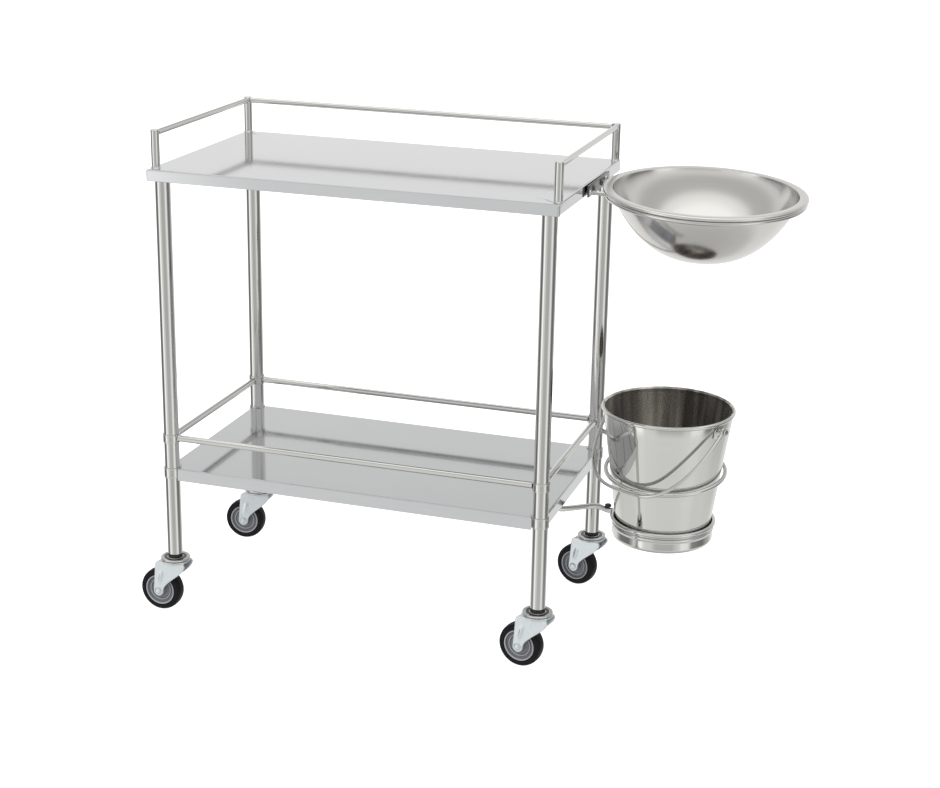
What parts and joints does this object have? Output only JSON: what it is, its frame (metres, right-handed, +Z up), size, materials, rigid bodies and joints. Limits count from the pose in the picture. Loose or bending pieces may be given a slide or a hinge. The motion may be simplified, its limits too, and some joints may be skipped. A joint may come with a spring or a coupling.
{
  "type": "dressing trolley",
  "caption": "Stainless steel two-shelf dressing trolley on swivel castors, with a gallery rail, a lift-off wash bowl in a ring and a lift-off bucket on a side tray.",
  "frame": {"origin": "centre of the whole object's footprint, on the floor that the wheels stand on", "axes": "+Z up; +X towards the side that carries the bowl and the bucket; -Y towards the open front of the gallery"},
  "size_m": [1.0751, 0.4012, 0.84],
  "materials": {
    "polished_steel": "polished stainless tube with fine lengthwise grain",
    "shelf_steel": "stainless sheet, near-mirror on its flat faces",
    "satin_steel": "spun stainless bowl, polished with faint rings",
    "mirror_steel": "mirror-polished stainless bucket",
    "plated_fork": "bright zinc-plated pressed steel",
    "plated_bearing": "dull zinc-plated steel",
    "tyre_rubber": "black moulded rubber",
    "grey_hub": "dark grey moulded plastic",
    "black_plastic": "black moulded plastic",
    "black_bolt": "blackened steel bolt head"
  },
  "bodies": {
    "frame": {"leg_front_left": "polished_steel", "rail_collar_front_left": "polished_steel", "shelf_collar_front_left": "polished_steel", "gallery_post_front_left": "polished_steel", "castor_plug_front_left": "black_plastic", "castor_stem_front_left": "plated_bearing", "leg_front_right": "polished_steel", "rail_collar_front_right": "polished_steel", "shelf_collar_front_right": "polished_steel", "gallery_post_front_right": "polished_steel", "castor_plug_front_right": "black_plastic", "castor_stem_front_right": "plated_bearing", "leg_back_left": "polished_steel", "rail_collar_back_left": "polished_steel", "shelf_collar_back_left": "polished_steel", "gallery_post_back_left": "polished_steel", "castor_plug_back_left": "black_plastic", "castor_stem_back_left": "plated_bearing", "leg_back_right": "polished_steel", "rail_collar_back_right": "polished_steel", "shelf_collar_back_right": "polished_steel", "gallery_post_back_right": "polished_steel", "castor_plug_back_right": "black_plastic", "castor_stem_back_right": "plated_bearing", "top_shelf": "shelf_steel", "lower_shelf": "shelf_steel", "lower_rail_front": "polished_steel", "lower_rail_back": "polished_steel", "lower_rail_left": "polished_steel", "lower_rail_right": "polished_steel", "gallery_rail_back": "polished_steel", "gallery_rail_left": "polished_steel", "gallery_rail_right": "polished_steel", "bowl_bracket": "polished_steel", "bowl_ring": "polished_steel", "bucket_ring": "polished_steel", "tray_arm": "polished_steel", "tray_bolt": "black_bolt", "bucket_tray": "polished_steel"},
    "castor_front_left": {"castor_fork_front_left": "plated_fork", "wheel_axle_front_left": "plated_bearing"},
    "wheel_front_left": {"wheel_hub_front_left": "grey_hub", "wheel_tyre_front_left": "tyre_rubber"},
    "castor_front_right": {"castor_fork_front_right": "plated_fork", "wheel_axle_front_right": "plated_bearing"},
    "wheel_front_right": {"wheel_hub_front_right": "grey_hub", "wheel_tyre_front_right": "tyre_rubber"},
    "castor_back_left": {"castor_fork_back_left": "plated_fork", "wheel_axle_back_left": "plated_bearing"},
    "wheel_back_left": {"wheel_hub_back_left": "grey_hub", "wheel_tyre_back_left": "tyre_rubber"},
    "castor_back_right": {"castor_fork_back_right": "plated_fork", "wheel_axle_back_right": "plated_bearing"},
    "wheel_back_right": {"wheel_hub_back_right": "grey_hub", "wheel_tyre_back_right": "tyre_rubber"},
    "bowl": {"bowl": "satin_steel"},
    "bucket": {"bucket": "mirror_steel", "bucket_ear_front": "polished_steel", "bucket_ear_back": "polished_steel"},
    "bail": {"bucket_bail": "polished_steel"}
  },
  "joints": [
    {"name": "swivel_front_left", "type": "hinge", "parent": "frame", "child": "castor_front_left", "pos_m": [-0.473, -0.1751, 0.097], "axis": [0, 0, 1], "continuous": true},
    {"name": "wheel_front_left", "type": "hinge", "parent": "castor_front_left", "child": "wheel_front_left", "pos_m": [-0.49998, -0.17416, 0.0375], "axis": [-0.0349, -0.9994, 0], "continuous": true},
    {"name": "swivel_front_right", "type": "hinge", "parent": "frame", "child": "castor_front_right", "pos_m": [0.177, -0.1751, 0.097], "axis": [0, 0, 1], "continuous": true},
    {"name": "wheel_front_right", "type": "hinge", "parent": "castor_front_right", "child": "wheel_front_right", "pos_m": [0.15033, -0.17088, 0.0375], "axis": [-0.1564, -0.9877, 0], "continuous": true},
    {"name": "swivel_back_left", "type": "hinge", "parent": "frame", "child": "castor_back_left", "pos_m": [-0.473, 0.1729, 0.097], "axis": [0, 0, 1], "continuous": true},
    {"name": "wheel_back_left", "type": "hinge", "parent": "castor_back_left", "child": "wheel_back_left", "pos_m": [-0.49993, 0.17102, 0.0375], "axis": [0.0698, -0.9976, 0], "continuous": true},
    {"name": "swivel_back_right", "type": "hinge", "parent": "frame", "child": "castor_back_right", "pos_m": [0.177, 0.1729, 0.097], "axis": [0, 0, 1], "continuous": true},
    {"name": "wheel_back_right", "type": "hinge", "parent": "castor_back_right", "child": "wheel_back_right", "pos_m": [0.15092, 0.17989, 0.0375], "axis": [-0.2588, -0.9659, 0], "continuous": true},
    {"name": "bowl_lift", "type": "slide", "parent": "frame", "child": "bowl", "axis": [0, 0, 1], "range_m": [0, 0.12]},
    {"name": "bucket_lift", "type": "slide", "parent": "frame", "child": "bucket", "axis": [0, 0, 1], "range_m": [0, 0.14]},
    {"name": "bail_swing", "type": "hinge", "parent": "bucket", "child": "bail", "pos_m": [0.3335, 0.0289, 0.392], "axis": [-0.8829, 0.4695, 0], "range_deg": [0, 270]}
  ]
}
